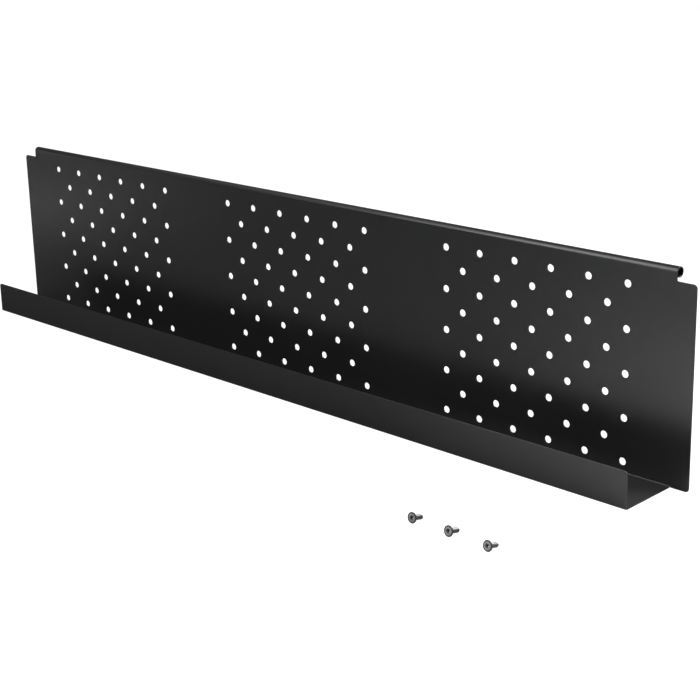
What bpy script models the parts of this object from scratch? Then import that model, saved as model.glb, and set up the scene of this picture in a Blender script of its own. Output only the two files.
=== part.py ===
"""A perforated sheet-steel back panel with a tray folded along its foot, and the three screws that fasten it.

Metres, +Z up. The origin is the middle of the tray's underside. X runs along the panel's length, the panel
stands at the rear of the tray, towards +Y, and the tray's lip is at the front, towards -Y.

The sheet is made as the real one is: a flat blank is cut with its corners, notches and holes, and then its
foot is folded into the tray and its top edge is rolled backwards.
"""

import math

import bmesh
import bpy
from mathutils import Matrix

# The sheet and its two folds
SHEET = 0.0012
FOLD_RADIUS = 0.0008  # on the inside of each fold
FOLD_STEPS = 6

# The upright panel, with an end tab outside the tray at each end
PANEL_LENGTH = 1.1785
PANEL_HEIGHT = 0.2264  # from the tray's underside to the top of the end tabs
TAB_CORNER_RADIUS = 0.0043
CORNER_STEPS = 5

# The tray along the panel's foot
TRAY_LENGTH = 1.1333
TRAY_DEPTH = 0.082
LIP_HEIGHT = 0.043
LIP_CORNER_RADIUS = 0.004
RELIEF_WIDTH = 0.0003  # slit that frees the rear fold from each end tab
RELIEF_RISE = 0.0005  # how far the slit runs above the fold

# The rolled top edge
ROLL_LENGTH = 1.129
ROLL_SHIFT = 0.001  # the roll lies this much nearer the right end
ROLL_RADIUS = 0.0059  # on the outside
ROLL_RISE = 0.00855  # the roll's axis above the end tabs
ROLL_TURN = math.radians(306)
ROLL_STEPS = 22
NOTCH_RADIUS = 0.0015  # inner corner between an end tab and the rolled edge

# The round holes: equal groups of staggered rows
HOLE_RADIUS = 0.0043
HOLE_SIDES = 16
HOLE_PITCH = 0.050
ROW_COUNT = 9
ROW_SPACING = 0.025
LONG_ROW_HOLES = 6
LOWEST_ROW_HEIGHT = 0.0136
GROUP_COUNT = 3
GROUP_SPACING = 0.3811

# The screws: flat countersunk heads with a hexagon socket
SCREW_SIDES = 24
SCREW_LENGTH = 0.016  # the head included
THREAD_RADIUS = 0.0027  # half-way between the thread's crest and its root
TIP_RADIUS = 0.002
TIP_LENGTH = 0.001
HEAD_RADIUS = 0.006
HEAD_RIM = 0.0009  # the straight edge between the head's face and its cone
HEAD_EDGE_BREAK = 0.0002
SOCKET_ACROSS_FLATS = 0.004
SOCKET_DEPTH = 0.0022

# Where the screws lie, in a row in front of the tray with their heads forward: X and Y of each head's face
SCREW_FACES = {
    "screw_left": (0.4235, -0.2098),
    "screw_middle": (0.4720, -0.2098),
    "screw_right": (0.5225, -0.2107),
}

# Places that follow from the sizes above
PANEL_REAR_Y = TRAY_DEPTH / 2
PANEL_FRONT_Y = PANEL_REAR_Y - SHEET
LIP_FRONT_Y = -TRAY_DEPTH / 2
FOLD_TOP_Z = SHEET + FOLD_RADIUS
ROLL_AXIS_Z = PANEL_HEIGHT + ROLL_RISE
QUARTER_TURN = math.pi / 2


def clear_scene():
    for obj in list(bpy.data.objects):
        bpy.data.objects.remove(obj)


def painted_steel():
    """Black powder coat with a satin finish."""
    material = bpy.data.materials.new("black_powder_coat")
    material.use_nodes = True
    shader = material.node_tree.nodes["Principled BSDF"]
    shader.inputs["Base Color"].default_value = (0.022, 0.022, 0.023, 1)
    shader.inputs["Roughness"].default_value = 0.42
    shader.inputs["Metallic"].default_value = 0.0
    return material


def blackened_steel():
    """Dark plated steel, as on loose fasteners."""
    material = bpy.data.materials.new("blackened_steel")
    material.use_nodes = True
    shader = material.node_tree.nodes["Principled BSDF"]
    shader.inputs["Base Color"].default_value = (0.23, 0.23, 0.24, 1)
    shader.inputs["Roughness"].default_value = 0.32
    shader.inputs["Metallic"].default_value = 1.0
    return material


def arc(centre_x, centre_z, radius, start, turn, steps):
    """Points of an arc in the panel's plane, both ends included. Angles are in degrees from +X towards +Z."""
    points = []
    for step in range(steps + 1):
        angle = math.radians(start + turn * step / steps)
        points.append((centre_x + radius * math.cos(angle), centre_z + radius * math.sin(angle)))
    return points


def end_outline(roll_x):
    """Outline of the panel's right end from the fold upwards, where the rolled edge ends at roll_x."""
    tab_x = PANEL_LENGTH / 2 - TAB_CORNER_RADIUS
    tray_x = TRAY_LENGTH / 2
    side = [
        (tray_x, FOLD_TOP_Z),
        (tray_x, FOLD_TOP_Z + RELIEF_RISE),
        (tray_x + RELIEF_WIDTH, FOLD_TOP_Z + RELIEF_RISE),
        (tray_x + RELIEF_WIDTH, 0),
    ]
    side += arc(tab_x, TAB_CORNER_RADIUS, TAB_CORNER_RADIUS, -90, 90, CORNER_STEPS)
    side += arc(tab_x, PANEL_HEIGHT - TAB_CORNER_RADIUS, TAB_CORNER_RADIUS, 0, 90, CORNER_STEPS)
    side += arc(roll_x + NOTCH_RADIUS, PANEL_HEIGHT + NOTCH_RADIUS, NOTCH_RADIUS, -90, -90, 3)
    side.append((roll_x, ROLL_AXIS_Z))
    return side


def panel_outline():
    """The flat part of the panel, between the rear fold and the rolled edge, anticlockwise from the front."""
    right_side = end_outline(ROLL_LENGTH / 2 + ROLL_SHIFT)
    left_side = [(-x, z) for x, z in reversed(end_outline(ROLL_LENGTH / 2 - ROLL_SHIFT))]
    return right_side + left_side


def hole_centres():
    """Every other row has one hole fewer and stands half a pitch in, so the rows are staggered."""
    centres = []
    for group in range(GROUP_COUNT):
        group_x = (group - (GROUP_COUNT - 1) / 2) * GROUP_SPACING
        for row in range(ROW_COUNT):
            holes = LONG_ROW_HOLES - row % 2
            for hole in range(holes):
                x = group_x + (hole - (holes - 1) / 2) * HOLE_PITCH
                centres.append((x, LOWEST_ROW_HEIGHT + row * ROW_SPACING))
    return centres


def add_loop(bm, points):
    """A closed loop of edges on the panel's front face."""
    verts = [bm.verts.new((x, PANEL_FRONT_Y, z)) for x, z in points]
    return [bm.edges.new(ends) for ends in zip(verts, verts[1:] + verts[:1])]


def whole(face):
    """A face with its edges and corners, so that extruding it leaves nothing behind inside the sheet."""
    return [face, *face.edges, *face.verts]


def carry_on(bm, face, offset):
    """Carries the sheet straight on from its end face, and returns the new end face."""
    grown = bmesh.ops.extrude_face_region(bm, geom=whole(face))["geom"]
    verts = [item for item in grown if isinstance(item, bmesh.types.BMVert)]
    bmesh.ops.translate(bm, verts=verts, vec=offset)
    return next(item for item in grown if isinstance(item, bmesh.types.BMFace))


def turn_over(bm, face, axis_y, axis_z, turn, steps):
    """Carries the sheet on from its end face round an axis along X, and returns the new end face."""
    centre = (0, axis_y, axis_z)
    turned = bmesh.ops.spin(bm, geom=whole(face), cent=centre, axis=(1, 0, 0), angle=turn, steps=steps)
    return next(item for item in turned["geom_last"] if isinstance(item, bmesh.types.BMFace))


def end_face(bm, height):
    """The narrow face of the sheet that lies wholly at this height."""
    for face in bm.faces:
        if all(abs(vert.co.z - height) < SHEET / 100 for vert in face.verts):
            return face


def fold_tray(bm):
    """The rear fold, the tray's floor, the front fold and the lip with its rounded corners."""
    face = end_face(bm, FOLD_TOP_Z)
    rear_axis_y = PANEL_FRONT_Y - FOLD_RADIUS
    front_axis_y = LIP_FRONT_Y + SHEET + FOLD_RADIUS
    face = turn_over(bm, face, rear_axis_y, FOLD_TOP_Z, -QUARTER_TURN, FOLD_STEPS)
    face = carry_on(bm, face, (0, front_axis_y - rear_axis_y, 0))
    face = turn_over(bm, face, front_axis_y, FOLD_TOP_Z, -QUARTER_TURN, FOLD_STEPS)
    corner_z = LIP_HEIGHT - LIP_CORNER_RADIUS
    face = carry_on(bm, face, (0, 0, corner_z - FOLD_TOP_Z))
    for step in range(1, CORNER_STEPS + 1):
        angle = QUARTER_TURN * step / CORNER_STEPS
        half_length = TRAY_LENGTH / 2 - LIP_CORNER_RADIUS * (1 - math.cos(angle))
        face = carry_on(bm, face, (0, 0, 0))
        for vert in face.verts:
            vert.co.x = math.copysign(half_length, vert.co.x)
            vert.co.z = corner_z + LIP_CORNER_RADIUS * math.sin(angle)


def roll_top_edge(bm):
    """The top edge, rolled backwards into a tube that stays open by a narrow gap against the panel."""
    face = end_face(bm, ROLL_AXIS_Z)
    turn_over(bm, face, PANEL_FRONT_Y + ROLL_RADIUS, ROLL_AXIS_Z, -ROLL_TURN, ROLL_STEPS)


def make_panel():
    bm = bmesh.new()
    edges = add_loop(bm, panel_outline())
    for x, z in hole_centres():
        full_circle = arc(x, z, HOLE_RADIUS, 0, 360, HOLE_SIDES)
        edges += add_loop(bm, full_circle[:-1])
    filled = bmesh.ops.triangle_fill(bm, use_beauty=True, edges=edges)["geom"]
    faces = [item for item in filled if isinstance(item, bmesh.types.BMFace)]
    grown = bmesh.ops.extrude_face_region(bm, geom=faces)["geom"]
    verts = [item for item in grown if isinstance(item, bmesh.types.BMVert)]
    bmesh.ops.translate(bm, verts=verts, vec=(0, SHEET, 0))
    fold_tray(bm)
    roll_top_edge(bm)
    return add_object("perforated_tray_panel", bm, painted_steel())


def circle_radius(radius):
    """A round cross-section: the same radius at every angle."""
    return lambda angle: radius


def hexagon_radius(across_flats):
    """A hexagonal cross-section, with a corner at angle 0."""
    sixth = math.pi / 3
    return lambda angle: across_flats / 2 / math.cos(angle % sixth - sixth / 2)


def screw_sections():
    """(height, radius at each angle) from the thread's tip up to the head's face and down into its socket."""
    cone_height = HEAD_RADIUS - THREAD_RADIUS
    return [
        (-SCREW_LENGTH, circle_radius(TIP_RADIUS)),
        (TIP_LENGTH - SCREW_LENGTH, circle_radius(THREAD_RADIUS)),
        (-HEAD_RIM - cone_height, circle_radius(THREAD_RADIUS)),
        (-HEAD_RIM, circle_radius(HEAD_RADIUS)),
        (-HEAD_EDGE_BREAK, circle_radius(HEAD_RADIUS)),
        (0, circle_radius(HEAD_RADIUS - HEAD_EDGE_BREAK)),
        (0, hexagon_radius(SOCKET_ACROSS_FLATS)),
        (-SOCKET_DEPTH, hexagon_radius(SOCKET_ACROSS_FLATS)),
    ]


def make_screw_mesh():
    """A screw standing on its tip, with the middle of its head's face at the origin. All three share it."""
    bm = bmesh.new()
    rings = []
    for height, radius_at in screw_sections():
        ring = []
        for side in range(SCREW_SIDES):
            angle = 2 * math.pi * side / SCREW_SIDES
            radius = radius_at(angle)
            ring.append(bm.verts.new((radius * math.cos(angle), radius * math.sin(angle), height)))
        rings.append(ring)
    for lower, upper in zip(rings, rings[1:]):
        for side in range(SCREW_SIDES):
            after = (side + 1) % SCREW_SIDES
            bm.faces.new((lower[side], lower[after], upper[after], upper[side]))
    bm.faces.new(rings[0])
    bm.faces.new(rings[-1])
    return finish_mesh("socket_screw", bm, blackened_steel())


def lying_pose(face_x, face_y):
    """A screw on its side, with its head forward, resting on the rim of its head and the edge of its tip."""
    reach = SCREW_LENGTH - TIP_LENGTH - HEAD_RIM
    nose_down = math.atan((HEAD_RADIUS - THREAD_RADIUS) / reach)
    face_z = HEAD_RADIUS * math.cos(nose_down) + HEAD_RIM * math.sin(nose_down)
    place = Matrix.Translation((face_x, face_y, face_z))
    return place @ Matrix.Rotation(QUARTER_TURN - nose_down, 4, "X")


def make_screws():
    mesh = make_screw_mesh()
    for name, (face_x, face_y) in SCREW_FACES.items():
        screw = bpy.data.objects.new(name, mesh)
        bpy.context.scene.collection.objects.link(screw)
        screw.matrix_world = lying_pose(face_x, face_y)


def finish_mesh(name, bm, material):
    """Turns the faces outwards, shades the round surfaces smooth and frees the working mesh."""
    bmesh.ops.recalc_face_normals(bm, faces=bm.faces)
    mesh = bpy.data.meshes.new(name)
    bm.to_mesh(mesh)
    bm.free()
    mesh.materials.append(material)
    mesh.shade_smooth()
    mesh.set_sharp_from_angle(angle=math.radians(31))
    return mesh


def add_object(name, bm, material):
    obj = bpy.data.objects.new(name, finish_mesh(name, bm, material))
    bpy.context.scene.collection.objects.link(obj)
    return obj


clear_scene()
make_panel()
make_screws()
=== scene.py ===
"""The looks of the perforated tray panel and its three loose screws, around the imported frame.

Metres, +Z up. The sheet is modelled again more finely, the way the real one is made: a flat blank is cut
with its outline and holes, its foot is folded into the tray, its top edge is rolled, and every cut edge is
rounded as paint rounds it. Each screw gets a real thread, a rounded rim, a domed face and a socket with a
drilled bottom. The rest is paint, steel, light and camera.
"""

import math

import bmesh
import bpy
from mathutils import Euler, Matrix, Vector


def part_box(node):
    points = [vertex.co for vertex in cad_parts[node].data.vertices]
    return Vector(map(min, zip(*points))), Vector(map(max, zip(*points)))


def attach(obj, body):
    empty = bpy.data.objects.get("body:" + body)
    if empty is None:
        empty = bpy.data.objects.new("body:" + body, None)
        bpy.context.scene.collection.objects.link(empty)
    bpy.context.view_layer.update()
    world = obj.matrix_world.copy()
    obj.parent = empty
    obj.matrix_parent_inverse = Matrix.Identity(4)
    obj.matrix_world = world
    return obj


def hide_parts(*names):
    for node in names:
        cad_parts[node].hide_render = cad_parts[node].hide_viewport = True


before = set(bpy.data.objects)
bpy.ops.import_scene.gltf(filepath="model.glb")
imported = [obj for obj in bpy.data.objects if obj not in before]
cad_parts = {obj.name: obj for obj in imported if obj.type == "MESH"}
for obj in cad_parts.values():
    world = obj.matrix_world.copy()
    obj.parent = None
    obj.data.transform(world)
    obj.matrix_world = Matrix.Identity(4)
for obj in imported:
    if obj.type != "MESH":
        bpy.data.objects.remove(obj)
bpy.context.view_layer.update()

# The sheet, sized from the frame where the frame says it
PANEL_LOW, PANEL_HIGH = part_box("perforated_tray_panel")
SHEET = 0.0012
FOLD_RADIUS = 0.0008  # on the inside of each fold
FOLD_STEPS = 10
PANEL_LENGTH = PANEL_HIGH.x - PANEL_LOW.x
PANEL_HEIGHT = 0.2264  # from the tray's underside to the top of the end tabs
TAB_CORNER_RADIUS = 0.0043
CORNER_STEPS = 8
TRAY_LENGTH = 1.1333
LIP_HEIGHT = 0.043
LIP_CORNER_RADIUS = 0.004
RELIEF_WIDTH = 0.0003  # slit that frees the rear fold from each end tab
RELIEF_RISE = 0.0005  # how far the slit runs above the fold
ROLL_LENGTH = 1.129
ROLL_SHIFT = 0.001  # the roll lies this much nearer the right end
ROLL_RADIUS = 0.0059  # on the outside
ROLL_AXIS_Z = PANEL_HIGH.z - ROLL_RADIUS
ROLL_TURN = math.radians(306)
ROLL_STEPS = 44
NOTCH_RADIUS = 0.0015  # inner corner between an end tab and the rolled edge
NOTCH_STEPS = 5
LIP_FRONT_Y = PANEL_LOW.y
PANEL_REAR_Y = -LIP_FRONT_Y
PANEL_FRONT_Y = PANEL_REAR_Y - SHEET
FOLD_TOP_Z = SHEET + FOLD_RADIUS

# The holes
HOLE_RADIUS = 0.0043
HOLE_SIDES = 32
HOLE_PITCH = 0.050
ROW_COUNT = 9
ROW_SPACING = 0.025
LONG_ROW_HOLES = 6
LOWEST_ROW_HEIGHT = 0.0136
GROUP_COUNT = 3
GROUP_SPACING = 0.3811

# How the paint rounds each cut edge
EDGE_RADIUS = 0.00022
EDGE_SEGMENTS = 2
CUT_EDGE_ANGLE = math.radians(50)
SHEET_CREASE_ANGLE = math.radians(60)  # shading breaks over edges sharper than this

# The screws
SCREW_SIDES = 64
SCREW_LENGTH = 0.016
MEAN_THREAD_RADIUS = 0.0027
CREST_RADIUS = 0.00293
ROOT_RADIUS = 0.00245
THREAD_PITCH = 0.001
THREAD_STEPS = 8  # rings to a turn
THREAD_FLAT = 0.15  # how far the crests and the roots are cut off, as a share of the thread's depth
THREAD_RUN_OUT = 0.0012
RESTING_SLOPE = 0.2  # how steeply the screw's resting line leaves the thread's side
TIP_RADIUS = 0.002
TIP_LENGTH = 0.001
TIP_FACE_RADIUS = 0.0011
TIP_FACE_RISE = 0.00005  # from the middle of the tip to its edge
HEAD_RADIUS = 0.006
HEAD_RIM = 0.0009  # the straight edge between the head's face and its cone
HEAD_EDGE_BREAK = 0.0002  # the CAD head's, which says where its face stands
RIM_ROUND = 0.00025
NECK_Z = -HEAD_RIM - (HEAD_RADIUS - MEAN_THREAD_RADIUS)
NECK_OVERLAP = 0.0001  # how far below the neck its rounding starts
NECK_ROUND = 0.0014  # radius of the rounding, across the screw
NECK_ROUND_SHARE = 0.7  # how much of that it has along the screw
NECK_ROUND_STEPS = 4
DOME_RISE = 0.00045  # of the flat around the socket above the rim
DOME_STEPS = 8
FLAT_RADIUS = 0.0040
SOCKET_MOUTH_RADIUS = 0.00245
SOCKET_MOUTH_EDGE = 0.00015  # width of the mouth's broken edge
SOCKET_MOUTH_DROP = 0.00006  # and its depth
SOCKET_LEAD_IN = 0.00035  # depth at which the round mouth has become the hexagon
SOCKET_ACROSS_FLATS = 0.004
SOCKET_CORNERS = 0.00232  # just past the hexagon's corners, from the axis
SOCKET_DEPTH = 0.0022
DRILL_SHARE = 0.9  # the drilled cone's width in that of the hexagon
DRILL_STEP = 0.0001  # from the hexagon down to the cone, and the radius of the cone's point
DRILL_POINT = 0.0009  # depth of the drilled cone below the socket
WORN_EDGE_ANGLE = math.radians(28)
SCREW_CREASE_ANGLE = math.radians(42)

QUARTER_TURN = math.pi / 2


# ---------------------------------------------------------------- materials


def new_material(name, roughness, metallic, specular):
    """A material with a Principled shader, and the coordinates that its patterns use."""
    material = bpy.data.materials.new(name)
    material.use_nodes = True
    tree = material.node_tree
    shader = tree.nodes["Principled BSDF"]
    shader.inputs["Roughness"].default_value = roughness
    shader.inputs["Metallic"].default_value = metallic
    shader.inputs["Specular IOR Level"].default_value = specular
    coordinates = tree.nodes.new("ShaderNodeTexCoord")
    return material, tree, shader, coordinates.outputs["Object"]


def noise(tree, place, scale, detail):
    """Noise with this many features to a metre, from about 0.3 to 0.7."""
    texture = tree.nodes.new("ShaderNodeTexNoise")
    texture.inputs["Scale"].default_value = scale
    texture.inputs["Detail"].default_value = detail
    tree.links.new(place, texture.inputs["Vector"])
    return texture.outputs["Fac"]


def spread(tree, value, low, high, new_low, new_high):
    """A value mapped from one range to another, clamped."""
    node = tree.nodes.new("ShaderNodeMapRange")
    node.inputs["From Min"].default_value = low
    node.inputs["From Max"].default_value = high
    node.inputs["To Min"].default_value = new_low
    node.inputs["To Max"].default_value = new_high
    tree.links.new(value, node.inputs["Value"])
    return node.outputs["Result"]


def multiply(tree, first, second):
    node = tree.nodes.new("ShaderNodeMath")
    node.operation = "MULTIPLY"
    tree.links.new(first, node.inputs[0])
    tree.links.new(second, node.inputs[1])
    return node.outputs["Value"]


def mix_colours(tree, amount, first, second):
    """Two colours mixed by a value. Each colour is three numbers or another node's output."""
    node = tree.nodes.new("ShaderNodeMix")
    node.data_type = "RGBA"
    tree.links.new(amount, node.inputs["Factor"])
    for socket, colour in ((node.inputs[6], first), (node.inputs[7], second)):
        if isinstance(colour, tuple):
            socket.default_value = (*colour, 1)
        else:
            tree.links.new(colour, socket)
    return node.outputs[2]


def distance_from(tree, place, point):
    node = tree.nodes.new("ShaderNodeVectorMath")
    node.operation = "DISTANCE"
    node.inputs[1].default_value = point
    tree.links.new(place, node.inputs[0])
    return node.outputs["Value"]


def distance_from_axis(tree, place):
    """How far a place is from the Z axis."""
    flattened = tree.nodes.new("ShaderNodeVectorMath")
    flattened.operation = "MULTIPLY"
    flattened.inputs[1].default_value = (1, 1, 0)
    tree.links.new(place, flattened.inputs[0])
    return distance_from(tree, flattened.outputs["Vector"], (0, 0, 0))


def bump(tree, shader, height, distance, strength):
    node = tree.nodes.new("ShaderNodeBump")
    node.inputs["Distance"].default_value = distance
    node.inputs["Strength"].default_value = strength
    tree.links.new(height, node.inputs["Height"])
    tree.links.new(node.outputs["Normal"], shader.inputs["Normal"])


def edge_amount(tree):
    """1 along the middle of each rounded edge, falling to 0 at the flats beside it."""
    node = tree.nodes.new("ShaderNodeAttribute")
    node.attribute_name = "edge"
    return node.outputs["Fac"]


def powder_coat():
    """Black satin powder coat: fine orange peel, a little cloudiness, and paint thinned along its edges."""
    material, tree, shader, place = new_material("powder_coat_black", 0.30, 0.0, 0.5)
    cloud = spread(tree, noise(tree, place, 9, 4), 0.3, 0.7, 0, 1)
    grain = spread(tree, noise(tree, place, 1400, 2), 0.35, 0.65, 0, 1)
    tone = mix_colours(tree, cloud, (0.0088, 0.0088, 0.0090), (0.0112, 0.0112, 0.0114))
    speckled = mix_colours(tree, spread(tree, grain, 0, 1, 0, 0.35), tone, (0.0160, 0.0160, 0.0165))
    patches = spread(tree, noise(tree, place, 160, 4), 0.42, 0.62, 0.15, 1)
    worn = multiply(tree, edge_amount(tree), patches)
    colour = mix_colours(tree, spread(tree, worn, 0, 1, 0, 0.7), speckled, (0.050, 0.050, 0.052))
    tree.links.new(colour, shader.inputs["Base Color"])
    sheen = noise(tree, place, 14, 1)
    tree.links.new(spread(tree, sheen, 0.2, 0.8, 0.28, 0.32), shader.inputs["Roughness"])
    peel = noise(tree, place, 620, 2)
    bump(tree, shader, peel, 0.00006, 0.35)
    return material


def screw_steel():
    """Blackened steel: darkest on the rim and in the socket, with painted highlights on the cone and the
    face, and one painted glint at the socket's bottom.
    """
    material, tree, shader, place = new_material("screw_steel_dark", 0.3, 1.0, 0.5)
    mottle = spread(tree, noise(tree, place, 900, 4), 0.3, 0.7, 0, 1)
    rub = spread(tree, noise(tree, place, 2200, 3), 0.4, 0.6, 0.3, 1)
    parts = tree.nodes.new("ShaderNodeSeparateXYZ")
    tree.links.new(place, parts.inputs[0])
    height = parts.outputs["Z"]

    plating = mix_colours(tree, mottle, (0.018, 0.018, 0.019), (0.032, 0.032, 0.033))
    worn = multiply(tree, edge_amount(tree), rub)
    colour = mix_colours(tree, worn, plating, (0.07, 0.07, 0.072))

    # The cone behind the rim is painted lighter: a painted highlight.
    from_axis = distance_from_axis(tree, place)
    outside_socket = spread(tree, from_axis, SOCKET_CORNERS, SOCKET_CORNERS + 0.00008, 0, 1)
    behind_rim = spread(tree, height, -HEAD_RIM - 0.0004, -HEAD_RIM - 0.0001, 1, 0)
    on_cone = multiply(tree, outside_socket, behind_rim)
    colour = mix_colours(tree, on_cone, colour, (0.16, 0.16, 0.163))

    on_thread = spread(tree, height, NECK_Z, NECK_Z + 0.0006, 1, 0)
    rubbed = mix_colours(tree, rub, (0.045, 0.045, 0.046), (0.08, 0.08, 0.082))
    colour = mix_colours(tree, on_thread, colour, rubbed)

    # The face around the socket is painted lighter: a painted highlight, mottled by the noise.
    on_face = spread(tree, height, -0.00005, -0.00001, 0, 1)
    painted_face_highlight = mix_colours(tree, rub, (0.13, 0.13, 0.132), (0.19, 0.19, 0.193))
    colour = mix_colours(tree, on_face, colour, painted_face_highlight)

    # A painted glint: a small bright spot on the socket's drilled bottom, towards one side.
    from_painted_glint = distance_from(tree, place, (0.0004, -0.0007, -SOCKET_DEPTH))
    painted_glint = spread(tree, from_painted_glint, 0.0007, 0.0012, 1, 0)
    colour = mix_colours(tree, painted_glint, colour, (0.5, 0.5, 0.505))

    tree.links.new(colour, shader.inputs["Base Color"])
    tree.links.new(spread(tree, mottle, 0, 1, 0.36, 0.46), shader.inputs["Roughness"])
    shader.inputs["Specular Tint"].default_value = (0.35, 0.35, 0.35, 1)
    bump(tree, shader, noise(tree, place, 3500, 3), 0.00002, 0.3)
    return material


# ---------------------------------------------------------------- pieces


def finished_mesh(name, bm, material, crease_angle):
    """Turns a bmesh into a mesh that is shaded smooth up to this angle between faces."""
    mesh = bpy.data.meshes.new(name)
    bm.to_mesh(mesh)
    bm.free()
    mesh.materials.append(material)
    mesh.shade_smooth()
    mesh.set_sharp_from_angle(angle=crease_angle)
    return mesh


def add_object(name, data):
    obj = bpy.data.objects.new(name, data)
    bpy.context.scene.collection.objects.link(obj)
    return obj


# ---------------------------------------------------------------- the sheet


def arc(centre_x, centre_z, radius, start, turn, steps):
    """Points of an arc in the panel's plane, both ends included. Angles are in degrees from +X towards +Z."""
    points = []
    for step in range(steps + 1):
        angle = math.radians(start + turn * step / steps)
        points.append((centre_x + radius * math.cos(angle), centre_z + radius * math.sin(angle)))
    return points


def end_outline(roll_x):
    """Outline of the panel's right end from the fold upwards, where the rolled edge ends at roll_x."""
    tab_x = PANEL_LENGTH / 2 - TAB_CORNER_RADIUS
    tray_x = TRAY_LENGTH / 2
    side = [
        (tray_x, FOLD_TOP_Z),
        (tray_x, FOLD_TOP_Z + RELIEF_RISE),
        (tray_x + RELIEF_WIDTH, FOLD_TOP_Z + RELIEF_RISE),
        (tray_x + RELIEF_WIDTH, 0),
    ]
    side += arc(tab_x, TAB_CORNER_RADIUS, TAB_CORNER_RADIUS, -90, 90, CORNER_STEPS)
    side += arc(tab_x, PANEL_HEIGHT - TAB_CORNER_RADIUS, TAB_CORNER_RADIUS, 0, 90, CORNER_STEPS)
    side += arc(roll_x + NOTCH_RADIUS, PANEL_HEIGHT + NOTCH_RADIUS, NOTCH_RADIUS, -90, -90, NOTCH_STEPS)
    side.append((roll_x, ROLL_AXIS_Z))
    return side


def panel_outline():
    """The flat part of the panel, between the rear fold and the rolled edge, anticlockwise from the front."""
    right_side = end_outline(ROLL_LENGTH / 2 + ROLL_SHIFT)
    left_side = [(-x, z) for x, z in reversed(end_outline(ROLL_LENGTH / 2 - ROLL_SHIFT))]
    return right_side + left_side


def hole_centres():
    """Every other row has one hole fewer and stands half a pitch in, so the rows are staggered."""
    centres = []
    for group in range(GROUP_COUNT):
        group_x = (group - (GROUP_COUNT - 1) / 2) * GROUP_SPACING
        for row in range(ROW_COUNT):
            holes = LONG_ROW_HOLES - row % 2
            for hole in range(holes):
                x = group_x + (hole - (holes - 1) / 2) * HOLE_PITCH
                centres.append((x, LOWEST_ROW_HEIGHT + row * ROW_SPACING))
    return centres


def add_loop(bm, points):
    """A closed loop of edges on the panel's front face."""
    verts = [bm.verts.new((x, PANEL_FRONT_Y, z)) for x, z in points]
    return [bm.edges.new(ends) for ends in zip(verts, verts[1:] + verts[:1])]


def whole(face):
    """A face with its edges and corners, so that extruding it leaves nothing behind inside the sheet."""
    return [face, *face.edges, *face.verts]


def carry_on(bm, face, offset):
    """Carries the sheet straight on from its end face, and returns the new end face."""
    grown = bmesh.ops.extrude_face_region(bm, geom=whole(face))["geom"]
    verts = [item for item in grown if isinstance(item, bmesh.types.BMVert)]
    bmesh.ops.translate(bm, verts=verts, vec=offset)
    return next(item for item in grown if isinstance(item, bmesh.types.BMFace))


def turn_over(bm, face, axis_y, axis_z, turn, steps):
    """Carries the sheet on from its end face round an axis along X, and returns the new end face."""
    centre = (0, axis_y, axis_z)
    turned = bmesh.ops.spin(bm, geom=whole(face), cent=centre, axis=(1, 0, 0), angle=turn, steps=steps)
    return next(item for item in turned["geom_last"] if isinstance(item, bmesh.types.BMFace))


def end_face(bm, height):
    """The narrow face of the sheet that lies wholly at this height."""
    for face in bm.faces:
        if all(abs(vert.co.z - height) < SHEET / 100 for vert in face.verts):
            return face


def fold_tray(bm):
    """The rear fold, the tray's floor, the front fold and the lip with its rounded corners."""
    face = end_face(bm, FOLD_TOP_Z)
    rear_axis_y = PANEL_FRONT_Y - FOLD_RADIUS
    front_axis_y = LIP_FRONT_Y + SHEET + FOLD_RADIUS
    face = turn_over(bm, face, rear_axis_y, FOLD_TOP_Z, -QUARTER_TURN, FOLD_STEPS)
    face = carry_on(bm, face, (0, front_axis_y - rear_axis_y, 0))
    face = turn_over(bm, face, front_axis_y, FOLD_TOP_Z, -QUARTER_TURN, FOLD_STEPS)
    corner_z = LIP_HEIGHT - LIP_CORNER_RADIUS
    face = carry_on(bm, face, (0, 0, corner_z - FOLD_TOP_Z))
    for step in range(1, CORNER_STEPS + 1):
        angle = QUARTER_TURN * step / CORNER_STEPS
        half_length = TRAY_LENGTH / 2 - LIP_CORNER_RADIUS * (1 - math.cos(angle))
        face = carry_on(bm, face, (0, 0, 0))
        for vert in face.verts:
            vert.co.x = math.copysign(half_length, vert.co.x)
            vert.co.z = corner_z + LIP_CORNER_RADIUS * math.sin(angle)


def roll_top_edge(bm):
    """The top edge, rolled backwards into a tube that stays open by a narrow gap against the panel."""
    face = end_face(bm, ROLL_AXIS_Z)
    turn_over(bm, face, PANEL_FRONT_Y + ROLL_RADIUS, ROLL_AXIS_Z, -ROLL_TURN, ROLL_STEPS)


def round_edges(bm, radius):
    """Rounds every sharp edge, and marks the middle of each rounding in the layer that the paint reads."""
    sharp = [edge for edge in bm.edges if edge.is_manifold and edge.calc_face_angle() > CUT_EDGE_ANGLE]
    rounded = bmesh.ops.bevel(
        bm,
        geom=sharp,
        offset=radius,
        segments=EDGE_SEGMENTS,
        profile=0.5,
        affect="EDGES",
        clamp_overlap=False,
    )
    layer = bm.verts.layers.float.new("edge")
    faces = set(rounded["faces"])
    for vert in {vert for face in faces for vert in face.verts}:
        if all(face in faces for face in vert.link_faces):
            vert[layer] = 1.0


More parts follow.
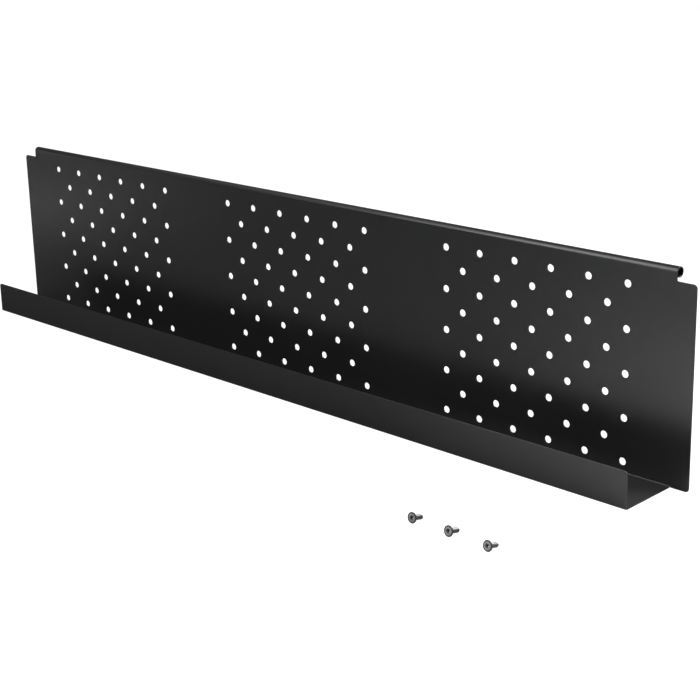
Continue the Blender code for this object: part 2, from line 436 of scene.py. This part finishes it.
def make_panel():
    bm = bmesh.new()
    edges = add_loop(bm, panel_outline())
    for x, z in hole_centres():
        full_circle = arc(x, z, HOLE_RADIUS, 0, 360, HOLE_SIDES)
        edges += add_loop(bm, full_circle[:-1])
    filled = bmesh.ops.triangle_fill(bm, use_beauty=True, edges=edges)["geom"]
    faces = [item for item in filled if isinstance(item, bmesh.types.BMFace)]
    grown = bmesh.ops.extrude_face_region(bm, geom=faces)["geom"]
    verts = [item for item in grown if isinstance(item, bmesh.types.BMVert)]
    bmesh.ops.translate(bm, verts=verts, vec=(0, SHEET, 0))
    fold_tray(bm)
    roll_top_edge(bm)
    bmesh.ops.recalc_face_normals(bm, faces=bm.faces)
    round_edges(bm, EDGE_RADIUS)
    panel = add_object("folded_sheet", finished_mesh("folded_sheet", bm, powder_coat(), SHEET_CREASE_ANGLE))
    flats = panel.modifiers.new("flats_stay_flat", "WEIGHTED_NORMAL")
    flats.keep_sharp = True
    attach(panel, "panel")
    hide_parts("perforated_tray_panel")


# ---------------------------------------------------------------- the screws


def hexagon_radius(across_flats, angle):
    """The reach of a hexagon in this direction, with a corner at angle 0."""
    sixth = math.pi / 3
    return across_flats / 2 / math.cos(angle % sixth - sixth / 2)


def round_ring(radius, height):
    """Like every ring here, a function that gives the radius and the height at an angle."""
    return lambda angle: (radius, height)


def thread_ring(height, envelope):
    """A cut across the helical thread. The envelope is the largest radius that the thread has here."""

    def at(angle):
        phase = (height / THREAD_PITCH + angle / (2 * math.pi)) % 1
        ridge = min(max(abs(2 * phase - 1) * (1 + 2 * THREAD_FLAT) - THREAD_FLAT, 0), 1)
        radius = ROOT_RADIUS + (CREST_RADIUS - ROOT_RADIUS) * ridge
        return min(radius, envelope), height

    return at


def hexagon_ring(across_flats, height):
    return lambda angle: (hexagon_radius(across_flats, angle), height)


def thread_rings():
    """The tip's chamfer and the thread, up to the neck under the head."""
    rings = [
        round_ring(TIP_FACE_RADIUS, -SCREW_LENGTH),
        round_ring(TIP_RADIUS, -SCREW_LENGTH + TIP_FACE_RISE),
    ]
    length = SCREW_LENGTH + NECK_Z - TIP_LENGTH / 4
    steps = round(length / THREAD_PITCH * THREAD_STEPS)
    for step in range(steps + 1):
        height = -SCREW_LENGTH + TIP_LENGTH / 4 + length * step / steps
        above_tip = height + SCREW_LENGTH
        tip_cone = TIP_RADIUS + (MEAN_THREAD_RADIUS - TIP_RADIUS) * above_tip / TIP_LENGTH
        # Near the tip the crests are held back, so that the thread stays clear of what the screw lies on
        resting_line = MEAN_THREAD_RADIUS + (above_tip - TIP_LENGTH) * RESTING_SLOPE
        run_out = min(max((NECK_Z - height) / THREAD_RUN_OUT, 0), 1)
        fade = ROOT_RADIUS + (CREST_RADIUS - ROOT_RADIUS) * run_out
        rings.append(thread_ring(height, min(tip_cone, max(resting_line, TIP_RADIUS), fade)))
    return rings


def neck_rings():
    """The rounding between the thread and the cone."""
    rings = []
    for step in range(1, NECK_ROUND_STEPS + 1):
        turn = QUARTER_TURN / 2 * step / NECK_ROUND_STEPS
        radius = ROOT_RADIUS + NECK_ROUND * (1 - math.cos(turn))
        height = NECK_Z - NECK_OVERLAP + NECK_ROUND * math.sin(turn) * NECK_ROUND_SHARE
        rings.append(round_ring(radius, height))
    return rings


def rim_rings():
    """The end of the cone and the rim, rounded at both edges."""
    return [
        round_ring(HEAD_RADIUS - RIM_ROUND, -HEAD_RIM - RIM_ROUND),
        round_ring(HEAD_RADIUS - RIM_ROUND * 0.3, -HEAD_RIM - RIM_ROUND * 0.25),
        round_ring(HEAD_RADIUS, -HEAD_RIM + RIM_ROUND * 0.3),
        round_ring(HEAD_RADIUS, -DOME_RISE - RIM_ROUND * 0.7),
        round_ring(HEAD_RADIUS - RIM_ROUND * 0.3, -DOME_RISE - RIM_ROUND * 0.2),
    ]


def face_rings():
    """The head's face, which rises from the rim to the flat around the socket."""
    rings = []
    for step in range(DOME_STEPS + 1):
        share = step / DOME_STEPS
        radius = HEAD_RADIUS - RIM_ROUND - (HEAD_RADIUS - RIM_ROUND - FLAT_RADIUS) * share
        rings.append(round_ring(radius, -DOME_RISE * (1 - share) ** 2))
    return rings


def socket_rings():
    """The socket's round mouth, its hexagon and the drilled cone at its bottom."""
    return [
        round_ring(SOCKET_MOUTH_RADIUS + SOCKET_MOUTH_EDGE, 0),
        round_ring(SOCKET_MOUTH_RADIUS, -SOCKET_MOUTH_DROP),
        hexagon_ring(SOCKET_ACROSS_FLATS, -SOCKET_LEAD_IN),
        hexagon_ring(SOCKET_ACROSS_FLATS, -SOCKET_DEPTH),
        round_ring(SOCKET_ACROSS_FLATS / 2 * DRILL_SHARE, -SOCKET_DEPTH - DRILL_STEP),
        round_ring(DRILL_STEP, -SOCKET_DEPTH - DRILL_POINT),
    ]


def make_screw_mesh(material):
    """A screw standing on its tip, with the middle of its head's face at the origin. All three share it."""
    bm = bmesh.new()
    rings = []
    for ring_at in thread_rings() + neck_rings() + rim_rings() + face_rings() + socket_rings():
        ring = []
        for side in range(SCREW_SIDES):
            angle = 2 * math.pi * side / SCREW_SIDES
            radius, height = ring_at(angle)
            ring.append(bm.verts.new((radius * math.cos(angle), radius * math.sin(angle), height)))
        rings.append(ring)
    for lower, upper in zip(rings, rings[1:]):
        for side in range(SCREW_SIDES):
            after = (side + 1) % SCREW_SIDES
            bm.faces.new((lower[side], lower[after], upper[after], upper[side]))
    bm.faces.new(rings[0])
    bm.faces.new(rings[-1])
    bmesh.ops.recalc_face_normals(bm, faces=bm.faces)
    layer = bm.verts.layers.float.new("edge")
    for edge in bm.edges:
        if edge.calc_face_angle_signed() > WORN_EDGE_ANGLE:
            for vert in edge.verts:
                vert[layer] = 1.0
    return finished_mesh("screw_mesh", bm, material, SCREW_CREASE_ANGLE)


def make_screws():
    """Each screw lies where its CAD node does, on the rim of its head and the edge of its tip."""
    mesh = make_screw_mesh(screw_steel())
    reach = SCREW_LENGTH - TIP_LENGTH - HEAD_RIM
    nose_down = math.atan((HEAD_RADIUS - MEAN_THREAD_RADIUS) / reach)
    face_z = HEAD_RADIUS * math.cos(nose_down) + HEAD_RIM * math.sin(nose_down)
    for side in ("left", "middle", "right"):
        low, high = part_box("screw_" + side)
        face_y = low.y + (HEAD_RADIUS - HEAD_EDGE_BREAK) * math.sin(nose_down)
        screw = add_object("socket_screw_" + side, mesh)
        place = Matrix.Translation(((low.x + high.x) / 2, face_y, face_z))
        screw.matrix_world = place @ Matrix.Rotation(QUARTER_TURN - nose_down, 4, "X")
        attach(screw, "screw_" + side)
        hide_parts("screw_" + side)


# ---------------------------------------------------------------- the studio

CAMERA_PLACE = (1.39102, -1.28036, 0.65074)
CAMERA_AZIMUTH = math.radians(45.792)  # towards +X from straight in front
CAMERA_ELEVATION = math.radians(16.467)
CAMERA_ROLL = math.radians(-1.698)
CAMERA_LENS = 79.29  # mm, on a sensor 36 mm wide
CAMERA_SHIFT = (0.05139, -0.05221)

FLOOR_HALF = 12.0
FLOOR_DROP = 0.0001  # below the tray's underside
FLOOR_WHITE = 0.99  # what the camera sees before any light falls on the floor
FLOOR_SHADOW_SHARE = 0.12  # how much of the light and shadow on the floor the camera sees on top of that
FLOOR_ALBEDO = 0.2  # how much of the softboxes' light the floor throws back on the object
AMBIENT = 0.1  # the light from all round that falls on the object


def camera_share(tree):
    """1 for what the camera sees directly, 0 for the light that reaches the object."""
    return tree.nodes.new("ShaderNodeLightPath").outputs["Is Camera Ray"]


def make_floor():
    """A plain floor. The camera sees it white, with a trace of shadow, and the object sees it lit."""
    mesh = bpy.data.meshes.new("studio_floor")
    corners = [(-1, -1), (1, -1), (1, 1), (-1, 1)]
    z = PANEL_LOW.z - FLOOR_DROP
    mesh.from_pydata([(x * FLOOR_HALF, y * FLOOR_HALF, z) for x, y in corners], [], [(0, 1, 2, 3)])
    floor = add_object("studio_floor", mesh)
    material = bpy.data.materials.new("studio_white")
    material.use_nodes = True
    tree = material.node_tree
    shader = tree.nodes["Principled BSDF"]
    shader.inputs["Roughness"].default_value = 0.9
    shader.inputs["Specular IOR Level"].default_value = 0.0
    shader.inputs["Emission Color"].default_value = (1, 1, 1, 1)
    seen = camera_share(tree)
    tree.links.new(spread(tree, seen, 0, 1, 0, FLOOR_WHITE), shader.inputs["Emission Strength"])
    lit, faint = (FLOOR_ALBEDO,) * 3, (FLOOR_SHADOW_SHARE,) * 3
    tree.links.new(mix_colours(tree, seen, lit, faint), shader.inputs["Base Color"])
    mesh.materials.append(material)


def make_world():
    """White behind everything, but only a little light from all round."""
    world = bpy.data.worlds.new("studio")
    world.use_nodes = True
    tree = world.node_tree
    background = tree.nodes["Background"]
    background.inputs["Color"].default_value = (1, 1, 1, 1)
    tree.links.new(spread(tree, camera_share(tree), 0, 1, AMBIENT, 1), background.inputs["Strength"])
    bpy.context.scene.world = world


def soft_light(name, place, target, size, power, spread_angle):
    """A rectangular softbox that faces its target and can't be seen itself."""
    light = bpy.data.lights.new(name, "AREA")
    light.shape = "RECTANGLE"
    light.size, light.size_y = size
    light.energy = power
    light.spread = math.radians(spread_angle)
    obj = add_object(name, light)
    obj.location = place
    obj.rotation_euler = (Vector(target) - Vector(place)).to_track_quat("-Z", "Y").to_euler()
    obj.visible_camera = False


# Each softbox: place, target, width and height in metres, watts, and how wide its beam spreads in degrees.
# The narrow pools shine straight down on the floor beside and in front of the object, which mirrors them.
MIDDLE = (0, -0.05, 0.10)
LEFT_END = (-0.5, 0.04, 0.15)
RIGHT_END = (0.5, 0.04, 0.15)
RIGHT_ROLL = (0.3, 0.04, 0.22)
WIDE = 180
NARROW = 35
REAR_BEAM = 70
LIGHTS = {
    "large_front_left": ((-0.67, -1.30, 2.28), MIDDLE, (1.6, 1.2), 30.0, WIDE),
    "large_left": ((-1.67, -0.05, 2.09), MIDDLE, (1.6, 1.2), 2.5, WIDE),
    "strip_high": ((-0.91, -1.62, 1.46), RIGHT_ROLL, (0.7, 0.3), 11.0, WIDE),
    "strip_low": ((-0.94, -1.80, 1.12), RIGHT_ROLL, (0.5, 0.22), 3.0, WIDE),
    "small_front_right": ((0.3, -1.0, 0.35), RIGHT_END, (0.6, 0.4), 3.2, WIDE),
    "small_left": ((-1.3, -0.4, 0.3), LEFT_END, (0.5, 0.4), 0.4, WIDE),
    "pool_left": ((-1.16, -0.38, 0.9), (-1.16, -0.381, 0), (0.3, 0.3), 2.2, NARROW),
    "pool_middle": ((0.15, -0.6, 0.9), (0.15, -0.601, 0), (0.3, 0.3), 0.6, NARROW),
    "pool_front_right": ((0.45, -0.35, 0.9), (0.45, -0.351, 0), (0.3, 0.3), 2.6, NARROW),
    "pool_right": ((0.75, -0.3, 0.9), (0.75, -0.301, 0), (0.3, 0.3), 6.0, NARROW),
    "rear": ((1.26, 2.13, 0.77), MIDDLE, (1.2, 1.0), 10.0, WIDE),
    "rear_high": ((0.3, 1.6, 2.1), (0, 0.3, 0), (1.6, 0.8), 6.0, WIDE),
    "rear_pool": ((0.9, 1.0, 1.3), (0.3, 0.45, 0), (1.4, 0.4), 18.0, REAR_BEAM),
}


def make_lights():
    for name, (place, target, size, power, spread_angle) in LIGHTS.items():
        soft_light(name, place, target, size, power, spread_angle)


def make_camera():
    camera = bpy.data.cameras.new("camera")
    camera.lens = CAMERA_LENS
    camera.sensor_width = 36
    camera.shift_x, camera.shift_y = CAMERA_SHIFT
    camera.clip_start, camera.clip_end = 0.05, 60
    obj = add_object("camera", camera)
    aim = Euler((QUARTER_TURN - CAMERA_ELEVATION, 0, CAMERA_AZIMUTH)).to_matrix()
    roll = Matrix.Rotation(CAMERA_ROLL, 3, "Z")
    obj.matrix_world = Matrix.Translation(CAMERA_PLACE) @ (aim @ roll).to_4x4()
    bpy.context.scene.camera = obj
    bpy.context.scene.view_settings.view_transform = "Standard"


make_panel()
make_screws()
make_floor()
make_world()
make_lights()
make_camera()
